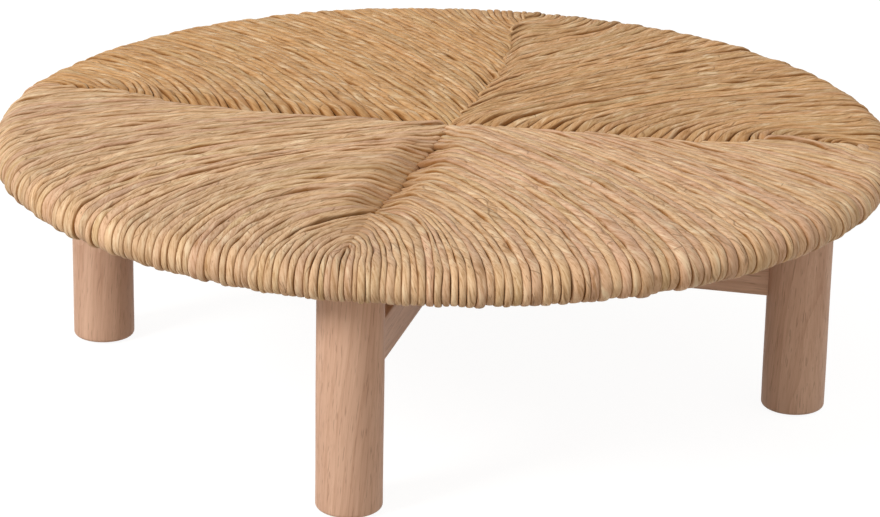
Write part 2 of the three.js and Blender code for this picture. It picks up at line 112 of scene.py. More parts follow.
# Colours as on screen, the lighter and the darker one where there are two
LEG_COLOURS = ((225, 187, 162), (170, 123, 96))
FRAME_COLOURS = ((214, 186, 142), (168, 132, 88))
STUFFING_COLOURS = ((178, 146, 104), (140, 108, 72))
STEEL_COLOURS = ((176, 176, 178), (150, 150, 152))
BRASS_COLOURS = ((196, 158, 84), (176, 138, 70))
NYLON_COLOURS = ((62, 54, 46), (48, 42, 36))
RUSH_STRAW = (226, 190, 152)
RUSH_PINK = (222, 181, 153)
RUSH_GREEN = (210, 180, 135)
RUSH_PALE = (252, 230, 194)
RUSH_BROWN = (156, 108, 56)
RUSH_AGED = (208, 158, 100)
RUSH_DARK = (108, 70, 34)
# Painted shade where the cords dive into the seams, then painted shade in the crevices between the cords,
# plain and aged
RUSH_PAINTED_SEAM_SHADE = (142, 92, 40)
RUSH_CREVICE_SHADE = (150, 101, 48)
RUSH_AGED_CREVICE_SHADE = (128, 82, 36)
# The pores' black, as scene values
PORE_BLACK = (0.02, 0.01, 0.005, 1.0)

# Noise wound round the cord, as scale across and along, then scale, detail, roughness and distortion
RUSH_PATTERNS = {
    "fibre": (3.2, 85.0, 1.0, 4.0, 0.65),
    "leaf": (0.9, 26.0, 1.0, 2.0, 0.5, 0.5),
    "speck": (2.4, 110.0, 1.0, 2.0, 0.6),
    "missing": (0.6, 20.0, 1.0, 1.0),
}
# Noise along the cord that differs from cord to cord, as scale and detail
PATCH_NOISE = (9.0, 2.0)
DRIFT_NOISE = (14.0, 2.0)
BROKEN_NOISE = (34.0, 2.0)
# Colours laid over the rush one after the other, each from nought to its share over a range of a pattern
RUSH_LAYERS = (
    ("age", (0.0, 1.0), 0.9, RUSH_AGED),
    ("patch", (0.52, 0.68), 0.6, RUSH_GREEN),
    ("leaf", (0.54, 0.72), 0.6, RUSH_PALE),
    ("leaf", (0.44, 0.28), 0.5, RUSH_BROWN),
    ("fibre", (0.50, 0.32), 0.66, RUSH_BROWN),
    ("fibre", (0.56, 0.74), 0.6, RUSH_PALE),
    ("lap", (0.0, 1.0), 0.6, RUSH_DARK),
    ("speck", (0.67, 0.75), 0.7, RUSH_DARK),
)
# Noise in the wood, as scale across and along the grain, then scale, detail and roughness
WOOD_PATTERNS = {
    "slow": (6.0, 1.3, 2.0, 2.0),
    "fine": (260.0, 9.0, 1.6, 3.0, 0.65),
    "pore": (700.0, 42.0, 1.0, 1.0),
    "broad": (40.0, 1.0, 1.5, 2.0),
}

# Curve between colours as on screen and scene values
SCREEN_LEVELS = 255
STRAIGHT_LIMIT = 0.04045
STRAIGHT_SLOPE = 12.92
CURVE_OFFSET = 0.055
CURVE_POWER = 2.4

# Cord, in metres
CORD_HALF_HEIGHT = 0.0042
WIDEST_HALF_WIDTH = 0.0070
CORD_FULLNESS_SHARE = 1.05
CORD_SIDES = 12
CORD_SQUARENESS = 3.2
CORD_STEP = 0.005
END_BEND = 0.0030
BEND_SAMPLES = 5
LOOP_FADE_LENGTH = 0.02

# Twist of the cord: length of a turn of its groove and of its pattern, and the random start of both
TWIST_LENGTH = 0.110
PATTERN_TWIST_LENGTH = 0.140
GROOVE_SHARE = 0.045
TWIST_START_TURNS = 10
PATTERN_START = 40

# Unevenness of the cords: spacing and amount of what wanders along a cord, and spreads from cord to cord
WIDTH_WANDER = (0.028, 0.06)
HEIGHT_WANDER = (0.025, 0.08)
HEIGHT_SPREAD_SHARE = 0.06
LIFT_WANDER = (0.030, 0.0007)
LIFT_SPREAD = 0.0004
END_LIFT_SPREAD = 0.0011
END_LIFT_REACH = 0.045
SPARE_KNOTS = 4

# Weave: its middle, its cords in half a sector, and how far in from the rim its edge starts to round
WEAVE_CENTRE = np.array([0.004, 0.008])
CORDS = 40
EDGE_REACH = 0.030
SEED = 20

# Corners against the clock from the right leg, the sector after each, and the sides of a corner's seam
CORNERS = ("right", "back", "left", "front")
SECTORS = ("back_right", "back_left", "front_left", "front_right")
SIDES = (1, -1)
QUARTER_DEGREES = 90
AXES = [np.array([math.cos(k * math.pi / 2), math.sin(k * math.pi / 2)]).round() for k in range(len(CORNERS))]

# Each corner's seam from its whorl to the middle, outward and to the left of the leg's axis
SEAMS = {
    "right": (
        (0.466, 0.058), (0.400, 0.056), (0.366, 0.056), (0.348, 0.048), (0.334, 0.036),
        (0.300, 0.031), (0.250, 0.024), (0.150, 0.025), (0.060, 0.019),
    ),
    "back": (
        (0.468, 0.004), (0.430, 0.012), (0.370, 0.008), (0.330, 0.000), (0.250, -0.012),
        (0.165, -0.015), (0.080, -0.010),
    ),
    "left": (
        (0.466, -0.013), (0.402, -0.015), (0.385, -0.018), (0.362, -0.009), (0.335, -0.001),
        (0.300, -0.003), (0.250, 0.001), (0.170, 0.001), (0.090, -0.006),
    ),
    "front": (
        (0.440, 0.004), (0.380, 0.003), (0.340, 0.001), (0.322, -0.002), (0.310, 0.001),
        (0.295, -0.002), (0.265, -0.005), (0.220, 0.000), (0.130, 0.001), (0.060, 0.003),
    ),
}
SEAM_SAMPLES = 241
SEAM_SOFTENING = 5
# Step and ends of what the direction of a seam is read from
SEAM_PROBE = 0.002
SEAM_PROBE_INNER_END = 0.006
SEAM_PROBE_OUTER_END = 0.003

# Cords that arch over the seam at each corner, and how far out the last of them crosses it
ARCH_COUNTS = {"right": 0, "back": 0, "left": 0, "front": 10}
ARCH_ENDS = {"right": 0.466, "back": 0.468, "left": 0.466, "front": 0.320}
# Where each corner's whorl meets the rim, as a share of its angle from the leg's axis
WHORL_SHARES = {"right": 0.6, "back": 0.6, "left": 0.6, "front": 2.6}

# How far from the seam the cords end, how much that scatters, and how far one side is staggered, in cords
END_SETBACKS = {"right": 0.0015, "back": -0.0005, "left": 0.0015, "front": 0.0018}
END_SCATTER = 0.0008
SEAM_STAGGERS = {1: 0.0, -1: 0.5}

# How the weave sinks at its middle and along its seams, and fades from the sink's end outward
CENTRE_DEPTH = 0.0040
CENTRE_REACH = 0.100
VALLEY_DEPTHS = {"right": 0.0055, "back": 0.0030, "left": 0.0070, "front": 0.0115}
VALLEY_HALF_WIDTHS = {"right": 0.026, "back": 0.020, "left": 0.024, "front": 0.036}
VALLEY_ENDS = {"right": 0.301, "back": 0.301, "left": 0.301, "front": 0.277}
VALLEY_FADE_LENGTH = 0.050
VALLEY_STRIDE = 4

# Angles between cord and seam by corner and side, as (cord, degrees) pairs
CORD_ANGLES = {
    ("right", 1): ((0, 40), (4, 62), (10, 68), (30, 68), (40, 50)),
    ("right", -1): ((0, 10), (4, 13), (8, 26), (14, 31), (34, 35), (40, 42)),
    ("back", 1): ((0, 30), (30, 32), (40, 38)),
    ("back", -1): ((0, 16), (30, 22), (40, 36)),
    ("left", 1): ((0, 16), (8, 24), (18, 28), (28, 36), (40, 46)),
    ("left", -1): ((0, 40), (4, 62), (10, 66), (30, 63), (40, 50)),
    ("front", 1): ((0, 86), (3, 74), (7, 56), (10, 48), (11, 58), (13, 84), (32, 88), (40, 54)),
    ("front", -1): ((0, 88), (5, 84), (8, 66), (10, 42), (11, 62), (13, 84), (32, 90), (40, 54)),
}

# Distance between cords that enter the seam by the whorl, as shares of the usual one, and over how many
CROWDING_SHARES = {("right", 1): 0.55, ("left", -1): 0.65, ("front", 1): 0.48, ("front", -1): 0.62}
CROWDED_CORDS = 16

# How far the cords hold the direction they leave the seam with, and at most what share of their way
FIRST_HANDLES = {
    ("right", 1): 0.130,
    ("right", -1): 0.080,
    ("back", 1): 0.070,
    ("back", -1): 0.070,
    ("left", 1): 0.060,
    ("left", -1): 0.050,
    ("front", 1): 0.058,
    ("front", -1): 0.115,
}
SIDEWAYS_HANDLE_SHARE = 0.80
FIRST_HANDLE_SHARE = 0.46
LAST_HANDLE_SHARE = 0.40
# How far the arches hold their direction at the seam and the rim, by side, and over how many cords that ends
ARCH_HANDLE_SHARES = {1: (0.46, 0.46), -1: (0.64, 0.58)}
OPENING_CORDS = 4
# From which share of a half sector on, and how far, its cords turn to the heading of the sector's middle
MIDDLE_START_SHARE = 0.5
MIDDLE_HANDLE = 0.085

# Where each sector's middle meets the rim and its heading at the weave's middle, in degrees
MIDDLE_PLACES = {"back_right": 45, "back_left": 45, "front_left": 50, "front_right": 43}
MIDDLE_HEADINGS = {"back_right": 60, "back_left": 128, "front_left": 230, "front_right": 328}
# Pitch of the cords at each sector's middle, on the rim
MIDDLE_PITCHES = {"back_right": 0.0110, "back_left": 0.0105, "front_left": 0.0108, "front_right": 0.0117}

# How far the cords lean towards the leg's axis as they reach the rim, as (cord, degrees) pairs
RIM_LEANS = {
    ("right", 1): ((0, 10), (6, -20), (16, -15), (26, 5), (40, 8)),
    ("right", -1): ((0, -10), (6, -28), (20, -28), (32, -22), (40, -19)),
    ("back", 1): ((0, -5), (6, -12), (14, -20), (26, -24), (40, -15)),
    ("back", -1): ((0, 5), (8, 0), (20, -8), (30, -12), (40, -8)),
    ("left", 1): ((0, -10), (6, -34), (20, -38), (40, -31)),
    ("left", -1): ((0, 10), (5, -8), (10, -8), (18, 0), (26, 10), (40, 15)),
    ("front", 1): ((0, -10), (5, -9), (10, -7), (17, -3), (21, 0), (28, 7), (35, 13), (40, 19)),
    ("front", -1): ((0, 10), (5, 7), (10, 10), (14, 13), (21, 20), (32, 25), (40, 31)),
}
# How long the cords of each sector keep their lean over the edge, as a power
LEAN_POWERS = {"back_right": 2, "back_left": 2, "front_left": 6, "front_right": 2}

# Gaps before some cords, as shares of the pitch, and how far along the cord they close, as shares
CREASE_SHARES = {
    ("front", 1): {12: (0.34, 0.3), 14: (0.22, 0.3), 17: (0.32, 0.3), 20: (0.24, 0.3), 24: (0.22, 0.3)},
    ("front", -1): {10: (0.50, 0.94), 12: (0.22, 0.3), 15: (0.22, 0.3), 18: (0.32, 0.3), 22: (0.24, 0.3)},
    ("right", 1): {14: (0.07, 0.6), 16: (0.07, 0.6), 22: (0.08, 0.6), 27: (0.07, 0.6), 31: (0.08, 0.6)},
    ("back", 1): {26: (0.16, 0.8)},
    ("left", -1): {14: (0.08, 0.3), 20: (0.08, 0.3), 25: (0.10, 0.3), 36: (0.08, 0.3)},
}
# How much the borders between cords wander, as shares of the pitch, alike on both sides and by side
SHARED_WANDER_SHARE = 0.07
BORDER_WANDER_SHARE = 0.09

# How much painted shade browns the cords where they dive into the seam, by corner and side
SEAM_SHADES = {
    ("right", 1): 0.5,
    ("right", -1): 0.0,
    ("back", 1): 0.2,
    ("back", -1): 0.1,
    ("left", 1): 0.0,
    ("left", -1): 0.6,
    ("front", 1): 1.0,
    ("front", -1): 1.0,
}
SEAM_SHADE_REACH = 0.028
SEAM_SHADE_START = 0.110
# How much painted shade browns the arches at their ends, and how aged the rush of the arches and of each
# sector is
WHORL_SHADE = 0.35
ARCH_AGE = 0.0
SECTOR_AGES = {"back_right": 0.65, "back_left": 0.8, "front_left": 0.04, "front_right": 0.1}

# Samples of the woven surface, across the cords as places and along them as marks
GRID_STEP = 0.25
GRID = np.arange(0, CORDS + GRID_STEP / 2, GRID_STEP)
TOP_SAMPLES = 61
EDGE_SAMPLES = 13
RUN_SAMPLES = 400
BORDER_KNOTS = 7
BORDER_SAMPLES = 64
# How far before a table's end its last readable place lies, in cells
LAST_CELL = 1.001
# Free space beside a cord in its strip of the flat map
STRIP_MARGIN_SHARE = 0.06
TINY = 1e-12


def unit(v):
    """Vectors of length one."""
    return v / np.maximum(np.linalg.norm(v, axis=-1, keepdims=True), TINY)


def smooth(x):
    """A smooth step from 0 to 1."""
    x = np.clip(x, 0, 1)
    return x * x * (3 - 2 * x)


def turned_left(v):
    """Plan vectors turned by a quarter to the left."""
    return np.stack([-v[..., 1], v[..., 0]], axis=-1)


def running_sum(values, step):
    """The integral of evenly spaced values, from 0."""
    return np.concatenate([[0], np.cumsum((values[1:] + values[:-1]) / 2 * step)])


def walked_lengths(line):
    """Distance along a line at each of its points."""
    return np.concatenate([[0], np.cumsum(np.linalg.norm(np.diff(line, axis=0), axis=1))])


def eased_between(values, x):
    """Values read at fractional places of their last axis, with a smooth step from each to the next."""
    i = np.clip(x.astype(int), 0, values.shape[-1] - 2)
    f = smooth(x - i)
    return values[..., i] * (1 - f) + values[..., i + 1] * f


def linear(colour):
    """A colour as on screen, as scene values."""
    values = []
    for level in colour:
        c = level / SCREEN_LEVELS
        curved = ((c + CURVE_OFFSET) / (1 + CURVE_OFFSET)) ** CURVE_POWER
        values.append(c / STRAIGHT_SLOPE if c <= STRAIGHT_LIMIT else curved)
    return (*values, 1.0)


def linked(name, data):
    """An object with its data, linked to the scene."""
    made = bpy.data.objects.new(name, data)
    bpy.context.scene.collection.objects.link(made)
    return made


def seat(piece, slot, *replaced):
    """Sets a piece in its place in the frame."""
    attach(piece, "root")
    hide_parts(*replaced)


# Lines of the weave


def seam_line(k):
    """Points of a corner's seam at even steps from the middle to the whorl, and their distance along it."""
    a, b = AXES[k], turned_left(AXES[k])
    knots = np.array([(WEAVE_CENTRE @ a, WEAVE_CENTRE @ b), *SEAMS[CORNERS[k]][::-1]])
    out = np.linspace(knots[0, 0], knots[-1, 0], SEAM_SAMPLES)
    off = np.interp(out, knots[:, 0], knots[:, 1])
    padded = np.pad(off, SEAM_SOFTENING, mode="reflect", reflect_type="odd")
    window = 2 * SEAM_SOFTENING + 1
    off = np.convolve(padded, np.ones(window) / window, mode="valid")
    line = a * out[:, None] + b * off[:, None]
    return line, walked_lengths(line)


SEAM_LINES = [seam_line(k) for k in range(len(CORNERS))]


def seam_point(k, distance):
    """Points on the seam of a corner at distances from the middle."""
    line, walked = SEAM_LINES[k]
    return np.stack([np.interp(distance, walked, line[:, i]) for i in range(2)], axis=-1)


def edge_profile():
    """Radius, height, outward direction and walked length of the woven layer's middle over the edge."""
    reach = EDGE_REACH - CORD_HALF_HEIGHT
    rise = TABLE_TOP - CORD_HALF_HEIGHT - TABLE_MIDDLE
    phi = np.linspace(0, math.pi / 2, EDGE_SAMPLES)
    radius = TABLE_RADIUS - EDGE_REACH + reach * np.sin(phi)
    height = TABLE_MIDDLE + rise * np.cos(phi)
    walked = walked_lengths(np.stack([radius, height], axis=-1))
    outward = unit(np.stack([rise * np.sin(phi), reach * np.cos(phi)], axis=-1))
    return radius[1:], height[1:], outward[1:], walked[1:]


EDGE_RADIUS, EDGE_HEIGHT, EDGE_OUTWARD, EDGE_WALKED = edge_profile()


def table_along(pairs):
    """Values given at some cords, for each place of the grid."""
    cords, values = np.array(pairs, dtype=float).T
    return np.interp(GRID, cords, values)


def sector_at(k, side):
    """The sector on one side of a corner's seam."""
    return SECTORS[k if side == 1 else k - 1]


def rim_angles(k, side):
    """Angle from the leg's axis, towards the side, at which each place of the grid meets the rim."""
    whorl = SEAM_LINES[k][0][-1]
    start = side * WHORL_SHARES[CORNERS[k]] * math.atan2(whorl @ turned_left(AXES[k]), whorl @ AXES[k])
    sector = sector_at(k, side)
    place = MIDDLE_PLACES[sector]
    end = math.radians(place if side == 1 else QUARTER_DEGREES - place)
    last = MIDDLE_PITCHES[sector]
    first = 2 * (end - start) * TABLE_RADIUS / CORDS - last
    along = running_sum(first + (last - first) * GRID / CORDS, GRID_STEP)
    return start + along / TABLE_RADIUS


def seam_places(k, side):
    """Distance along the seam and angle to it for each place of the grid."""
    corner = CORNERS[k]
    count = ARCH_COUNTS[corner]
    angle = np.radians(table_along(CORD_ANGLES[(corner, side)]))
    line, walked = SEAM_LINES[k]
    start = walked[-1]
    end = np.interp(ARCH_ENDS[corner], line @ AXES[k], walked)
    distance = start - (start - end) * GRID / max(count, 1)
    past = GRID >= count
    crowding = CROWDING_SHARES.get((corner, side), 1)
    crowd = crowding + (1 - crowding) * smooth((GRID - count) / CROWDED_CORDS)
    used = running_sum(crowd[past] / np.sin(angle[past]), GRID_STEP)
    distance[past] = end * (1 - used / used[-1])
    return distance, angle


def seam_directions(k, side, distance, angle, pull):
    """Plan directions in which the cords leave the seam, pulled to the heading of the sector's middle."""
    clipped = np.clip(distance, SEAM_PROBE_INNER_END, SEAM_LINES[k][1][-1] - SEAM_PROBE_OUTER_END)
    outward = unit(seam_point(k, clipped + SEAM_PROBE) - seam_point(k, clipped - SEAM_PROBE))
    leave = outward * np.cos(angle)[:, None] + turned_left(outward) * side * np.sin(angle)[:, None]
    heading = math.radians(MIDDLE_HEADINGS[sector_at(k, side)])
    towards = np.array([math.cos(heading), math.sin(heading)])
    return unit(leave * (1 - pull)[:, None] + towards * pull[:, None])


def edge_directions(k, side):
    """Plan points and directions in which the cords reach the edge, with their slope over it and their angle
    from the leg's axis."""
    a = AXES[k]
    b = turned_left(a) * side
    lean = np.radians(table_along(RIM_LEANS[(CORNERS[k], side)]))
    slope = -np.tan(lean)
    power = LEAN_POWERS[sector_at(k, side)]
    theta = rim_angles(k, side) - slope * EDGE_WALKED[-1] * power / (power + 1) / TABLE_RADIUS
    radial = a * np.cos(theta)[:, None] + b * np.sin(theta)[:, None]
    onward = b * np.cos(theta)[:, None] - a * np.sin(theta)[:, None]
    arrive = radial * np.cos(lean)[:, None] - onward * np.sin(lean)[:, None]
    return radial * (TABLE_RADIUS - EDGE_REACH), arrive, slope, theta


def bezier(*points):
    """Even samples of curves between rows of four points each."""
    t = np.linspace(0, 1, TOP_SAMPLES)[None, :, None]
    p0, p1, p2, p3 = (p[:, None, :] for p in points)
    return (1 - t) ** 3 * p0 + 3 * (1 - t) ** 2 * t * p1 + 3 * (1 - t) * t * t * p2 + t**3 * p3


def plan_curves(k, side):
    """Plan curves of half a sector from the seam to the edge, with the angle to the seam, the slope over the
    edge and the angle from the leg's axis at the edge."""
    corner, a = CORNERS[k], AXES[k]
    b = turned_left(a) * side
    count = ARCH_COUNTS[corner]
    share = np.clip((GRID - count) / (CORDS - count), 0, 1)
    pull = np.clip((share - MIDDLE_START_SHARE) / (1 - MIDDLE_START_SHARE), 0, 1) ** 2
    open_share = smooth((GRID - count) / OPENING_CORDS + 0.5) if count else np.ones(len(GRID))
    distance, angle = seam_places(k, side)
    start = seam_point(k, distance)
    leave = seam_directions(k, side, distance, angle, pull)
    end, arrive, slope, theta = edge_directions(k, side)
    chord = end - start
    length = np.linalg.norm(chord, axis=1)
    lateral = np.abs(chord @ b)
    longest = SIDEWAYS_HANDLE_SHARE * lateral if count else FIRST_HANDLE_SHARE * length
    reach = np.minimum(FIRST_HANDLES[(corner, side)], longest)
    reach = reach * (1 - pull) + MIDDLE_HANDLE * pull
    arch_first, arch_last = ARCH_HANDLE_SHARES[side]
    first = arch_first * lateral * (1 - open_share) + reach * open_share
    last = arch_last * np.abs(chord @ a) * (1 - open_share) + LAST_HANDLE_SHARE * length * open_share
    curve = bezier(start, start + leave * first[:, None], end - arrive * last[:, None], end)
    return curve, angle, slope, theta


def valley(points, k, side):
    """How far the weave sinks at plan points of half a sector."""
    sink = np.zeros(points.shape[:-1])
    radius = np.linalg.norm(points, axis=-1)
    for at in (k, (k + side) % len(CORNERS)):
        corner = CORNERS[at]
        seam = SEAM_LINES[at][0][::VALLEY_STRIDE]
        distance = np.linalg.norm(points[..., None, :] - seam, axis=-1).min(axis=-1)
        depth = CENTRE_DEPTH + (VALLEY_DEPTHS[corner] - CENTRE_DEPTH) * smooth(radius / CENTRE_REACH)
        depth = depth * (1 - smooth((radius - VALLEY_ENDS[corner]) / VALLEY_FADE_LENGTH))
        sink = np.maximum(sink, depth * (1 - smooth(distance / VALLEY_HALF_WIDTHS[corner])))
    return sink


def half_sector(k, side):
    """Points and outward directions of the woven layer for each place of the grid, from the seam over the top
    to the equator of the rim, and the angle to the seam."""
    curve, angle, slope, theta = plan_curves(k, side)
    a = AXES[k]
    b = turned_left(a) * side
    level = TABLE_TOP - CORD_HALF_HEIGHT - valley(curve, k, side)
    top = np.concatenate([curve, level[..., None]], axis=-1)
    up = np.zeros_like(top)
    up[..., 2] = 1
    power = LEAN_POWERS[sector_at(k, side)]
    run = EDGE_WALKED - EDGE_WALKED ** (power + 1) / ((power + 1) * EDGE_WALKED[-1] ** power)
    theta = theta[:, None] + slope[:, None] * run / TABLE_RADIUS
    radial = a * np.cos(theta)[..., None] + b * np.sin(theta)[..., None]
    height = np.broadcast_to(EDGE_HEIGHT[:, None], theta.shape + (1,))
    edge = np.concatenate([radial * EDGE_RADIUS[:, None], height], axis=-1)
    rising = np.broadcast_to(EDGE_OUTWARD[:, 1:], theta.shape + (1,))
    edge_up = np.concatenate([radial * EDGE_OUTWARD[:, :1], rising], axis=-1)
    return np.concatenate([top, edge], axis=1), np.concatenate([up, edge_up], axis=1), angle


# Cords


def sampled(table, places, marks):
    """A table of the grid read at fractional places and marks."""
    i = np.clip(places / GRID_STEP, 0, len(GRID) - LAST_CELL)
    j = np.clip(marks, 0, table.shape[1] - LAST_CELL)
    i0, j0 = i.astype(int), j.astype(int)
    fi, fj = (i - i0)[:, None], (j - j0)[:, None]
    low = table[i0, j0] * (1 - fj) + table[i0, j0 + 1] * fj
    high = table[i0 + 1, j0] * (1 - fj) + table[i0 + 1, j0 + 1] * fj
    return low * (1 - fi) + high * fi


def wander(rng, lengths, spacing, amount):
    """A smooth random value along a length."""
    knots = int(lengths[-1] / spacing) + SPARE_KNOTS
    return eased_between(rng.normal(0, amount, knots), lengths / spacing)


def cord_borders(rng, shared, corner, side):
    """Lower and upper border of each cord of half a sector, as places at even marks from the seam to the rim.
    They wander, are staggered at the seam past the arches, and stand apart at the creases."""
    knots = rng.normal(0, BORDER_WANDER_SHARE, (CORDS + 1, BORDER_KNOTS))
    knots[:, 0] = 0
    knots[ARCH_COUNTS[corner] + 1 : -1, 0] = SEAM_STAGGERS[side]
    knots[0] = knots[-1] = 0
    drift = eased_between(knots, np.linspace(0, BORDER_KNOTS - 1, BORDER_SAMPLES))
    edges = np.arange(CORDS + 1)[:, None] + shared[:, None] + drift
    low, high = edges[:-1].copy(), edges[1:].copy()
    for cord, (share, reach) in CREASE_SHARES.get((corner, side), {}).items():
        fade = 1 - smooth(np.linspace(0, 1 / reach, BORDER_SAMPLES))
        low[cord] += share * fade
        high[cord - 1] -= share * fade
    return low, high


def cord_run(table, ups, low, high, start_mark):
    """Centre line, outward directions and half width of the cord between two borders."""
    last = table.shape[1] - 1
    fine = np.linspace(start_mark, last, RUN_SAMPLES)
    at = np.linspace(0, last, BORDER_SAMPLES)
    walked = walked_lengths(sampled(table, np.interp(fine, at, (low + high) / 2), fine))
    count = int(round(walked[-1] / CORD_STEP)) + 1
    marks = np.interp(np.linspace(0, walked[-1], count), walked, fine)
    a = sampled(table, np.interp(marks, at, low), marks)
    b = sampled(table, np.interp(marks, at, high), marks)
    centre = (a + b) / 2
    up = unit(sampled(ups, np.interp(marks, at, (low + high) / 2), marks))
    along = unit(np.gradient(centre, axis=0))
    gap = b - a
    gap = gap - (gap * along).sum(1, keepdims=True) * along
    gap = gap - (gap * up).sum(1, keepdims=True) * up
    return centre, up, np.linalg.norm(gap, axis=1) / 2


def bent_end(centre, up, width):
    """The run with its first end bent down into the seam."""
    ahead = unit(centre[2] - centre[0])
    phi = np.linspace(0, math.pi / 2, BEND_SAMPLES)[:-1]
    points = centre[0] - ahead * END_BEND * np.cos(phi)[:, None]
    drop = END_BEND * (1 - np.sin(phi))
    points = points - up[0] * drop[:, None]
    ups = unit(up[0] * np.sin(phi)[:, None] - ahead * np.cos(phi)[:, None])
    widths = np.full(len(phi), width[0])
    return np.concatenate([points, centre]), np.concatenate([ups, up]), np.concatenate([widths, width])


def mirrored(centre, up, width):
    """A run and its mirror image under the table, joined at the equator of the rim."""
    flip = np.array([1, 1, -1])
    under = centre[-2::-1] * flip + np.array([0, 0, 2 * TABLE_MIDDLE])
    return (
        np.concatenate([centre, under]),
        np.concatenate([up, up[-2::-1] * flip]),
        np.concatenate([width, width[-2::-1]]),
    )


def squarish(x):
    """A sine or cosine drawn out towards the corners of a square."""
    return np.sign(x) * np.abs(x) ** (2 / CORD_SQUARENESS)


def ring_quads(rings, sides, closed=False):
    """Quads between rings of vertices that follow one another."""
    here = np.arange(rings if closed else rings - 1)[:, None] * sides
    ahead = (here + sides) % (rings * sides)
    side = np.arange(sides)
    after = (side + 1) % sides
    return np.stack([here + side, here + after, ahead + after, ahead + side], axis=-1).reshape(-1, 4)


def tube(rng, centre, up, width, closed):
    """Vertices, quads and (length, turn) coordinates of one uneven cord, and whether it is closed."""
    lengths = walked_lengths(centre)
    if closed:
        along = unit(np.roll(centre, -1, axis=0) - np.roll(centre, 1, axis=0))
    else:
        along = unit(np.gradient(centre, axis=0))
    up = unit(up - (up * along).sum(1, keepdims=True) * along)
    across = np.cross(up, along)
    to_end = np.minimum(lengths, lengths[-1] - lengths)
    fade = np.minimum(1, to_end / LOOP_FADE_LENGTH) if closed else np.ones(len(centre))
    width_share = 1 + wander(rng, lengths, *WIDTH_WANDER) * fade
    half_width = np.minimum(width * CORD_FULLNESS_SHARE, WIDEST_HALF_WIDTH) * width_share
    height_share = 1 + rng.normal(0, HEIGHT_SPREAD_SHARE) + wander(rng, lengths, *HEIGHT_WANDER) * fade
    half_height = CORD_HALF_HEIGHT * height_share
    lift = (rng.normal(0, LIFT_SPREAD) + wander(rng, lengths, *LIFT_WANDER)) * fade
    if not closed:
        lift = lift + rng.normal(0, END_LIFT_SPREAD) * np.exp(-to_end / END_LIFT_REACH)
    centre = centre + up * lift[:, None]
    turn = np.arange(CORD_SIDES) / CORD_SIDES * 2 * math.pi - math.pi / 2
    twist = lengths / TWIST_LENGTH + rng.random() * TWIST_START_TURNS
    groove = 1 - GROOVE_SHARE * np.cos(2 * (turn - 2 * math.pi * twist[:, None])) * fade[:, None]
    ring = across[:, None, :] * (half_width[:, None] * squarish(np.cos(turn)) * groove)[..., None]
    ring = ring + up[:, None, :] * (half_height[:, None] * squarish(np.sin(turn)) * groove)[..., None]
    verts = (centre[:, None, :] + ring).reshape(-1, 3)
    quads = ring_quads(len(centre), CORD_SIDES, closed)
    marks = np.append(lengths, lengths[-1] + CORD_STEP) if closed else lengths
    low = np.arange(CORD_SIDES) / CORD_SIDES
    high = low + 1 / CORD_SIDES
    at = np.stack([marks[:-1], marks[:-1], marks[1:], marks[1:]], axis=-1)
    around = np.stack([low, high, high, low], axis=-1)
    uv = np.stack(np.broadcast_arrays(at[:, None], around[None]), axis=-1).reshape(-1, 2)
    return verts, quads, uv, closed


def cord_shade(rng, age, painted_seam_shade):
    """Tone, tint and age of a cord, the start of its pattern, and how much painted shade browns its ends in
    the seam.
    """
    return rng.random(), rng.random(), age, rng.random() * PATTERN_START, painted_seam_shade


def mesh_piece(name, verts, quads, ends, material):
    """An object of smooth quads and of ends with many corners each."""
    totals = np.concatenate([np.full(len(quads), quads.shape[1]), np.full(len(ends), ends.shape[1])])
    loops = np.concatenate([quads.ravel(), ends.ravel()])
    mesh = bpy.data.meshes.new(name)
    mesh.vertices.add(len(verts))
    mesh.vertices.foreach_set("co", verts.astype(np.float32).ravel())
    mesh.loops.add(len(loops))
    mesh.loops.foreach_set("vertex_index", loops.astype(np.int32))
    mesh.polygons.add(len(totals))
    mesh.polygons.foreach_set("loop_start", (np.cumsum(totals) - totals).astype(np.int32))
    mesh.polygons.foreach_set("loop_total", totals.astype(np.int32))
    mesh.update(calc_edges=True)
    mesh.validate()
    mesh.polygons.foreach_set("use_smooth", np.ones(len(totals), dtype=bool))
    mesh.materials.append(material)
    return linked(name, mesh)


def cord_maps(at, around, shift, longest, row, rows):
    """A cord's coordinates for its pattern, and in its own strip of a flat map of the piece."""
    strip = (row + STRIP_MARGIN_SHARE + (1 - 2 * STRIP_MARGIN_SHARE) * around) / rows
    return np.stack([at + shift, around], axis=-1), np.stack([at / longest, strip], axis=-1)


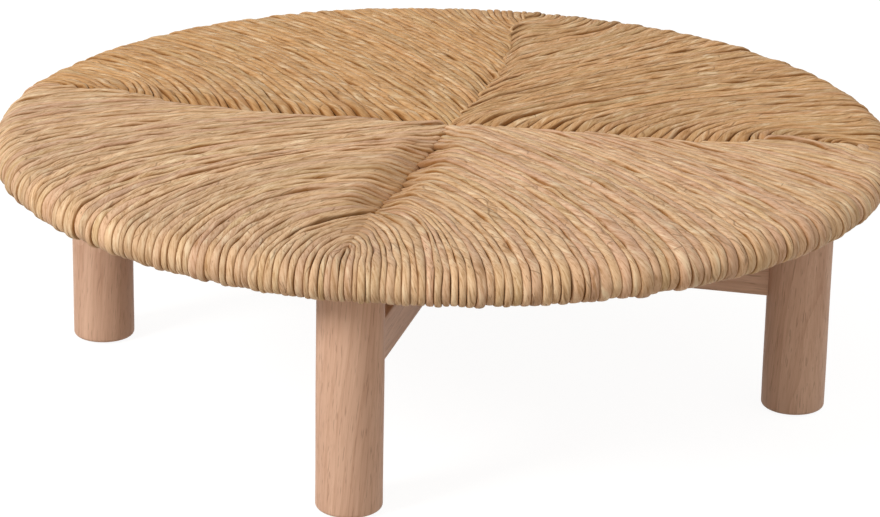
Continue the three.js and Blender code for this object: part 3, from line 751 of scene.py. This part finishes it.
def cord_piece(name, tubes, shades, material):
    """One object of many cords, with their coordinates as UV maps, and their tone, tint, age and painted seam
    shade as a colour attribute.
    """
    verts, quads, ends, quad_maps, end_maps, tones = [], [], [], [], [], []
    ring = np.arange(CORD_SIDES)
    offset = 0
    for row, (cord, (*tone, shift, painted_seam_shade)) in enumerate(zip(tubes, shades)):
        points, faces, uv, closed = cord
        longest = uv[:, 0].max()
        strip = (shift, longest, row, len(tubes))
        verts.append(points)
        quads.append(faces + offset)
        quad_maps.append(cord_maps(*uv.T, *strip))
        if not closed:
            ends += [ring[::-1] + offset, ring + offset + len(points) - CORD_SIDES]
            for mark in (0, longest):
                end_maps.append(cord_maps(np.full(CORD_SIDES, mark), ring / CORD_SIDES, *strip))
        marks = np.linspace(0, longest, len(points) // CORD_SIDES)
        # Painted shade at the cord's ends in the seam, fading along the cord
        seam_shade_along = painted_seam_shade * np.exp(-np.minimum(marks, longest - marks) / SEAM_SHADE_REACH)
        tones.append(np.column_stack([np.tile(tone, (len(points), 1)), np.repeat(seam_shade_along, CORD_SIDES)]))
        offset += len(points)
    ends = np.array(ends, dtype=int).reshape(-1, CORD_SIDES)
    piece = mesh_piece(name, np.concatenate(verts), np.concatenate(quads), ends, material)
    for title, parts in zip(("cord", "OFBake"), zip(*quad_maps, *end_maps)):
        layer = piece.data.uv_layers.new(name=title)
        layer.uv.foreach_set("vector", np.concatenate(parts).astype(np.float32).ravel())
    colour = piece.data.attributes.new("shade", "FLOAT_COLOR", "POINT")
    colour.data.foreach_set("color", np.concatenate(tones).astype(np.float32).ravel())
    return piece


# Materials


class NodeTree:
    """A node tree that is built up by short calls."""

    def __init__(self, owner):
        owner.use_nodes = True
        self.tree = owner.node_tree
        self.tree.nodes.clear()

    def node(self, kind, inputs=None, **settings):
        """A node with its settings and inputs, where an input is a value or another node's output."""
        made = self.tree.nodes.new("ShaderNode" + kind)
        for key, value in settings.items():
            setattr(made, key, value)
        for key, value in (inputs or {}).items():
            self.feed(made.inputs[key], value)
        return made

    def feed(self, socket, value):
        """Links an output to a socket, or sets its value."""
        if isinstance(value, bpy.types.NodeSocket):
            self.tree.links.new(value, socket)
        else:
            socket.default_value = value

    def math(self, operation, a, b=0.0):
        """The output of a math node."""
        return self.node("Math", {0: a, 1: b}, operation=operation).outputs[0]

    def seen(self):
        """1 where a surface is seen straight, in gloss or through glass, and 0 where light reaches it."""
        rays = self.node("LightPath").outputs
        seen = self.math("ADD", rays["Is Camera Ray"], rays["Is Glossy Ray"])
        return self.math("MINIMUM", self.math("ADD", seen, rays["Is Transmission Ray"]), 1.0)


class Shader(NodeTree):
    """A node material."""

    def __init__(self, name):
        self.material = bpy.data.materials.new(name)
        super().__init__(self.material)
        self.surface = self.node("BsdfPrincipled")
        self.node("OutputMaterial", {"Surface": self.surface.outputs[0]})

    def vector(self, x, y, z):
        """A vector of three values."""
        return self.node("CombineXYZ", {0: x, 1: y, 2: z}).outputs[0]

    def stretched(self, place, across, along):
        """A place with its first two values and its third one scaled."""
        scales = (across, across, along)
        return self.vector(*(self.math("MULTIPLY", value, scale) for value, scale in zip(place, scales)))

    def noise(self, vector, scale, detail, roughness=0.5, distortion=0.0):
        """The value of a noise texture."""
        shape = {"Detail": detail, "Roughness": roughness, "Distortion": distortion}
        return self.node("TexNoise", {"Vector": vector, "Scale": scale, **shape}).outputs["Fac"]

    def patterns(self, place, table):
        """The noises of a table by name, stretched across and along a place."""
        return {
            name: self.noise(self.stretched(place, across, along), *shape)
            for name, (across, along, *shape) in table.items()
        }

    def spread(self, value, low, high, to_low=0.0, to_high=1.0):
        """A value moved from one range to another and clamped."""
        inputs = {"Value": value, "From Min": low, "From Max": high, "To Min": to_low, "To Max": to_high}
        return self.node("MapRange", inputs).outputs[0]

    def blend(self, share, a, b):
        """Two colours mixed."""
        made = self.node("Mix", data_type="RGBA")
        self.feed(made.inputs[0], share)
        self.feed(made.inputs[6], a)
        self.feed(made.inputs[7], b)
        return made.outputs[2]

    def bump(self, height, depth, strength):
        """The normal of a surface with relief."""
        inputs = {"Height": height, "Strength": strength, "Distance": depth}
        return self.node("Bump", inputs).outputs[0]

    def finish(self, inputs):
        """Feeds the surface and returns the material."""
        for key, value in inputs.items():
            self.feed(self.surface.inputs[key], value)
        return self.material


def rush_material():
    """Twisted rush: leaves wound round the cord in straw, pink and green tans, with painted shade between the
    cords, on their steep sides and where they dive into the seams.
    """
    s = Shader("woven_rush")
    along, around, _ = s.node("SeparateXYZ", {0: s.node("UVMap", uv_map="cord").outputs[0]}).outputs
    wound = s.math("ADD", around, s.math("MULTIPLY", along, 1 / PATTERN_TWIST_LENGTH))
    angle = s.math("MULTIPLY", wound, 2 * math.pi)
    turned = (s.math("COSINE", angle), s.math("SINE", angle), along)
    stored = s.node("Attribute", attribute_name="shade")
    painted_seam_shade = stored.outputs["Alpha"]
    tone, tint, age = s.node("SeparateColor", {0: stored.outputs["Color"]}).outputs
    made = s.patterns(turned, RUSH_PATTERNS)
    made["age"] = age
    made["patch"] = s.noise(s.vector(along, tone, tint), *PATCH_NOISE)
    drift = s.noise(s.vector(along, tint, age), *DRIFT_NOISE)
    turns = s.math("FRACT", s.math("ADD", wound, s.math("MULTIPLY", drift, 3.0)))
    lap = s.spread(s.math("MINIMUM", turns, s.math("SUBTRACT", 1.0, turns)), 0.0, 0.05, 1.0, 0.0)
    made["lap"] = s.math("MULTIPLY", lap, s.spread(made["missing"], 0.45, 0.6))
    # Painted shade in the crevices between the cords: towards each cord's sides, broken up along it
    beside = s.math("ABSOLUTE", s.math("SUBTRACT", around, 0.5))
    broken = s.noise(s.vector(along, tone, tint), *BROKEN_NOISE)
    painted_crevice_shade = s.math("MULTIPLY", s.spread(beside, 0.10, 0.20), s.spread(broken, 0.36, 0.58, 0.45, 1.0))
    colour = s.blend(s.spread(tint, 0.5, 1.05), linear(RUSH_STRAW), linear(RUSH_PINK))
    for pattern, (low, high), share, layer in RUSH_LAYERS:
        colour = s.blend(s.spread(made[pattern], low, high, 0.0, share), colour, linear(layer))
    # Each cord's random tone, and painted shade that darkens surfaces a little as they turn from facing up or
    # down to facing sideways
    normal = s.node("NewGeometry").outputs["True Normal"]
    rising = s.math("ABSOLUTE", s.node("SeparateXYZ", {0: normal}).outputs[2])
    value = s.math("MULTIPLY", s.spread(tone, 0.0, 1.0, 0.88, 1.10), s.spread(rising, 0.0, 0.9, 0.94, 1.0))
    colour = s.node("HueSaturation", {"Color": colour, "Value": value}).outputs[0]
    # Colour of the painted crevice shade, browner on aged rush
    crevice_shade_colour = s.blend(age, linear(RUSH_CREVICE_SHADE), linear(RUSH_AGED_CREVICE_SHADE))
    colour = s.blend(s.math("MULTIPLY", painted_crevice_shade, 0.9), colour, crevice_shade_colour)
    # Painted shade where the cords dive into the seams
    colour = s.blend(painted_seam_shade, colour, linear(RUSH_PAINTED_SEAM_SHADE))
    height = s.math("ADD", s.math("MULTIPLY", made["fibre"], 0.6), s.math("MULTIPLY", made["leaf"], 0.9))
    height = s.math("SUBTRACT", height, s.math("MULTIPLY", made["lap"], 0.5))
    return s.finish({
        "Base Color": colour,
        "Roughness": s.spread(made["leaf"], 0.3, 0.7, 0.62, 0.5),
        "Specular IOR Level": 0.1,
        "Normal": s.bump(height, RUSH_RELIEF, 0.7),
    })


def wood_material(name, colours, pith, tilt=UPRIGHT, ring_pitch=LEG_RING_PITCH, along="z", gloss=0.5):
    """Open-grained wood with growth rings about a slightly tilted pith and short dark pores."""
    s = Shader(name)
    light, dark = (linear(colour) for colour in colours)
    inputs = {"Vector": s.node("TexCoord").outputs["Object"], "Location": pith, "Rotation": tilt}
    mapping = s.node("Mapping", inputs, vector_type="TEXTURE")
    x, y, z = s.node("SeparateXYZ", {0: mapping.outputs[0]}).outputs
    grain = {"x": (y, z, x), "y": (x, z, y), "z": (x, y, z)}[along]
    made = s.patterns(grain, WOOD_PATTERNS)
    squares = [s.math("MULTIPLY", part, part) for part in grain[:2]]
    radius = s.math("SQRT", s.math("ADD", *squares))
    ring = s.math("ADD", s.math("MULTIPLY", radius, 1 / ring_pitch), s.math("MULTIPLY", made["slow"], 5.0))
    late = s.math("POWER", s.math("FRACT", ring), 3.5)
    colour = s.blend(s.spread(made["broad"], 0.3, 0.7), light, s.blend(0.35, light, dark))
    colour = s.blend(s.math("MULTIPLY", late, 0.26), colour, dark)
    colour = s.blend(s.spread(made["fine"], 0.45, 0.68, 0.0, 0.30), colour, dark)
    pores = s.spread(made["pore"], 0.62, 0.70, 0.0, 0.35)
    colour = s.blend(pores, colour, s.blend(0.5, dark, PORE_BLACK))
    height = s.math("SUBTRACT", s.math("MULTIPLY", made["fine"], 0.3), pores)
    return s.finish({
        "Base Color": colour,
        "Roughness": s.spread(made["fine"], 0.3, 0.7, gloss, gloss + 0.12),
        "Specular IOR Level": 0.3,
        "Normal": s.bump(height, WOOD_RELIEF, 0.5),
    })


def mixed_material(name, colours, scale, roughness, metallic=0.0, relief=PLAIN_RELIEF):
    """A plain surface with a little mottling."""
    s = Shader(name)
    light, dark = (linear(colour) for colour in colours)
    mottle = s.noise(s.node("TexCoord").outputs["Object"], scale, 4.0, 0.6)
    return s.finish({
        "Base Color": s.blend(s.spread(mottle, 0.35, 0.65), light, dark),
        "Roughness": s.spread(mottle, 0.3, 0.7, roughness, roughness + 0.1),
        "Metallic": metallic,
        "Normal": s.bump(mottle, relief, 0.4),
    })


def floor_material():
    """A pale floor that shows white round the table and keeps its shadow."""
    s = Shader("pale_floor")
    seen = s.seen()
    return s.finish({
        "Base Color": s.blend(seen, FLOOR_COLOUR, SEEN_FLOOR_COLOUR),
        "Roughness": 0.9,
        "Specular IOR Level": 0.0,
        "Emission Color": WHITE,
        "Emission Strength": s.math("MULTIPLY", seen, SEEN_FLOOR_GLOW),
    })


# Pieces


def half_cords(rng, k, side, table, borders):
    """Tubes and shades of the cords of half a sector that run from the seam to the seam below."""
    corner = CORNERS[k]
    points, ups, angle = table
    tubes, shades = [], []
    for low, high in list(zip(*borders))[ARCH_COUNTS[corner] :]:
        start = (low[0] + high[0]) / 2
        slant = math.sin(np.interp(start, GRID, angle))
        line = sampled(points, np.full(TOP_SAMPLES, start), np.arange(TOP_SAMPLES))
        setback = (END_SETBACKS[corner] + rng.normal(0, END_SCATTER)) / slant + END_BEND
        mark = np.interp(setback, walked_lengths(line), np.arange(TOP_SAMPLES))
        run = bent_end(*cord_run(points, ups, low, high, mark))
        tubes.append(tube(rng, *mirrored(*run), False))
        # Painted shade at the cord's end in the seam, none near the weave's middle
        painted_seam_shade = SEAM_SHADES[(corner, side)] * smooth(np.linalg.norm(line[0][:2]) / SEAM_SHADE_START)
        shades.append(cord_shade(rng, SECTOR_AGES[sector_at(k, side)], painted_seam_shade))
    return tubes, shades


def arch_cords(rng, corner, tables, borders):
    """Tubes and shades of the closed cords that arch over a corner's seam and under the seam below."""
    tubes, shades = [], []
    for i in range(ARCH_COUNTS[corner]):
        runs = [cord_run(*tables[side][:2], *(edge[i] for edge in borders[side]), 0) for side in SIDES]
        loops = [mirrored(*run) for run in runs]
        centre, up, width = (np.concatenate([one[:-1], other[:0:-1]]) for one, other in zip(*loops))
        tubes.append(tube(rng, centre, up, width, True))
        shades.append(cord_shade(rng, ARCH_AGE, WHORL_SHADE))
    return tubes, shades


def lay_weave():
    """The cords of the whole top, as pieces by half sector and one piece for the arches at a corner."""
    material = rush_material()
    for k, corner in enumerate(CORNERS):
        rng = np.random.default_rng(SEED + k)
        shared = rng.normal(0, SHARED_WANDER_SHARE, CORDS + 1)
        shared[0] = shared[-1] = 0
        tables = {side: half_sector(k, side) for side in SIDES}
        borders = {side: cord_borders(rng, shared, corner, side) for side in SIDES}
        for side in SIDES:
            sector = sector_at(k, side)
            cords = half_cords(rng, k, side, tables[side], borders[side])
            seat(cord_piece(f"rush_{sector}_by_{corner}", *cords, material), "rush", "rush_" + sector)
        if ARCH_COUNTS[corner]:
            cords = arch_cords(rng, corner, tables, borders)
            under = ["rush_" + sector_at(k, side) for side in SIDES]
            seat(cord_piece("rush_whorl_" + corner, *cords, material), "rush", *under)


def leg_profile(k):
    """Radius and level of a leg's outline from foot to head, with the lathe's waver."""
    turn = np.linspace(0, math.pi / 2, FOOT_POINTS)
    foot_radius = LEG_RADIUS - FOOT_EASE + FOOT_EASE * np.sin(turn)
    foot_level = LEG_FOOT + FOOT_EASE - FOOT_EASE * np.cos(turn)
    turn = np.linspace(0, math.pi / 2, HEAD_POINTS)
    head_radius = LEG_RADIUS - HEAD_EASE + HEAD_EASE * np.cos(turn)
    head_level = LEG_TOP - HEAD_EASE + HEAD_EASE * np.sin(turn)
    level = np.linspace(foot_level[-1], head_level[0], SHAFT_POINTS)[1:-1]
    radius = LEG_RADIUS + LATHE_WAVER * np.sin(LATHE_WAVER_RATE * level + k)
    return np.concatenate([foot_radius, radius, head_radius]), np.concatenate([foot_level, level, head_level])


def turn_leg(k, corner):
    """A round leg with an eased foot and top edge, a little uneven as turned by hand."""
    axis = AXES[k] * LEG_CIRCLE
    pith = np.append(axis, 0) + PITH_PLACE + PITH_PLACE_STEP * k
    tilt = PITH_TILT + PITH_TILT_STEP * k
    wood = wood_material("leg_wood_" + corner, LEG_COLOURS, pith.tolist(), tilt.tolist())
    radius, level = leg_profile(k)
    turn = 2 * math.pi * np.arange(LEG_SIDES) / LEG_SIDES
    x = axis[0] + radius[:, None] * np.cos(turn)
    y = axis[1] + radius[:, None] * np.sin(turn)
    verts = np.stack(np.broadcast_arrays(x, y, level[:, None]), axis=-1).reshape(-1, 3)
    ring = np.arange(LEG_SIDES)
    ends = np.stack([ring[::-1], ring + len(verts) - LEG_SIDES])
    leg = mesh_piece("turned_leg_" + corner, verts, ring_quads(len(radius), LEG_SIDES), ends, wood)
    for end in leg.data.polygons[-len(ends) :]:
        end.use_smooth = False
    seat(leg, "leg_wood", "leg_" + corner)


def refinish(prefix, material):
    """Gives the solids of that name their material."""
    for name, node in nodes.items():
        if name.startswith(prefix):
            node.data.materials.clear()
            node.data.materials.append(material)


def finish_solids():
    """Materials of the rails, the hidden frame, the stuffing and the metal parts."""
    lower_wood = wood_material("rail_wood_x", LEG_COLOURS, LOWER_RAIL_PITH, along="x")
    upper_wood = wood_material("rail_wood_y", LEG_COLOURS, UPPER_RAIL_PITH, along="y")
    frame_wood = wood_material("frame_wood", FRAME_COLOURS, FRAME_PITH, UPRIGHT, FRAME_RING_PITCH, gloss=0.7)
    straw = mixed_material("stuffing_straw", STUFFING_COLOURS, 60.0, 0.9)
    steel = mixed_material("brushed_steel", STEEL_COLOURS, 300.0, 0.35, 1.0, METAL_RELIEF)
    brass = mixed_material("brass", BRASS_COLOURS, 200.0, 0.3, 1.0, METAL_RELIEF)
    nylon = mixed_material("nylon", NYLON_COLOURS, 500.0, 0.5)
    refinish("cross_rail_lower", lower_wood)
    refinish("cross_rail_upper", upper_wood)
    for prefix in ("ring_rail", "corner_block", "ring_dowel"):
        refinish(prefix, frame_wood)
    refinish("stuffing", straw)
    refinish("hanger_bolt", steel)
    refinish("cross_screw", steel)
    refinish("threaded_insert", brass)
    refinish("foot_glide", nylon)


# Camera, floor and light


def place_camera():
    """A camera that looks down at the table from the front, a little turned and rolled."""
    flat = math.cos(CAMERA_PITCH)
    forward = Vector((math.sin(CAMERA_YAW) * flat, math.cos(CAMERA_YAW) * flat, -math.sin(CAMERA_PITCH)))
    right = Vector((math.cos(CAMERA_YAW), -math.sin(CAMERA_YAW), 0.0))
    up = right.cross(forward)
    cosine, sine = math.cos(CAMERA_ROLL), math.sin(CAMERA_ROLL)
    right, up = right * cosine + up * sine, up * cosine - right * sine
    data = bpy.data.cameras.new("camera")
    data.sensor_width = CAMERA_SENSOR
    data.lens = CAMERA_LENS
    camera = linked("camera", data)
    turn = Matrix((right, up, -forward)).transposed().to_4x4()
    camera.matrix_world = Matrix.Translation(CAMERA_PLACE) @ turn
    bpy.context.scene.camera = camera


def lay_floor():
    """A wide floor."""
    half = FLOOR_SIZE / 2
    mesh = bpy.data.meshes.new("floor")
    mesh.from_pydata([(-half, -half, 0), (half, -half, 0), (half, half, 0), (-half, half, 0)], [], [range(4)])
    mesh.materials.append(floor_material())
    floor = linked("floor", mesh)


def light_world():
    """Soft light from all round, which is seen as plain white."""
    world = bpy.data.worlds.new("studio")
    s = NodeTree(world)
    soft = s.node("Background", {"Color": WORLD_COLOUR, "Strength": WORLD_STRENGTH})
    white = s.node("Background", {"Color": WHITE, "Strength": 1.0})
    mix = s.node("MixShader", {0: s.seen(), 1: soft.outputs[0], 2: white.outputs[0]})
    s.node("OutputWorld", {"Surface": mix.outputs[0]})
    bpy.context.scene.world = world


def soft_lamp(name, place, size, power, colour):
    """A square lamp aimed at the table."""
    data = bpy.data.lights.new(name, "AREA")
    data.shape = "SQUARE"
    data.size = size
    data.energy = power
    data.color = colour
    lamp = linked(name, data)
    lamp.location = place
    lamp.rotation_euler = (Vector(LAMP_TARGET) - Vector(place)).to_track_quat("-Z", "Y").to_euler()


place_camera()
lay_weave()
for k, corner in enumerate(CORNERS):
    turn_leg(k, corner)
finish_solids()
lay_floor()
light_world()
for name, settings in LAMPS.items():
    soft_lamp(name, *settings)
bpy.context.scene.view_settings.view_transform = "Standard"
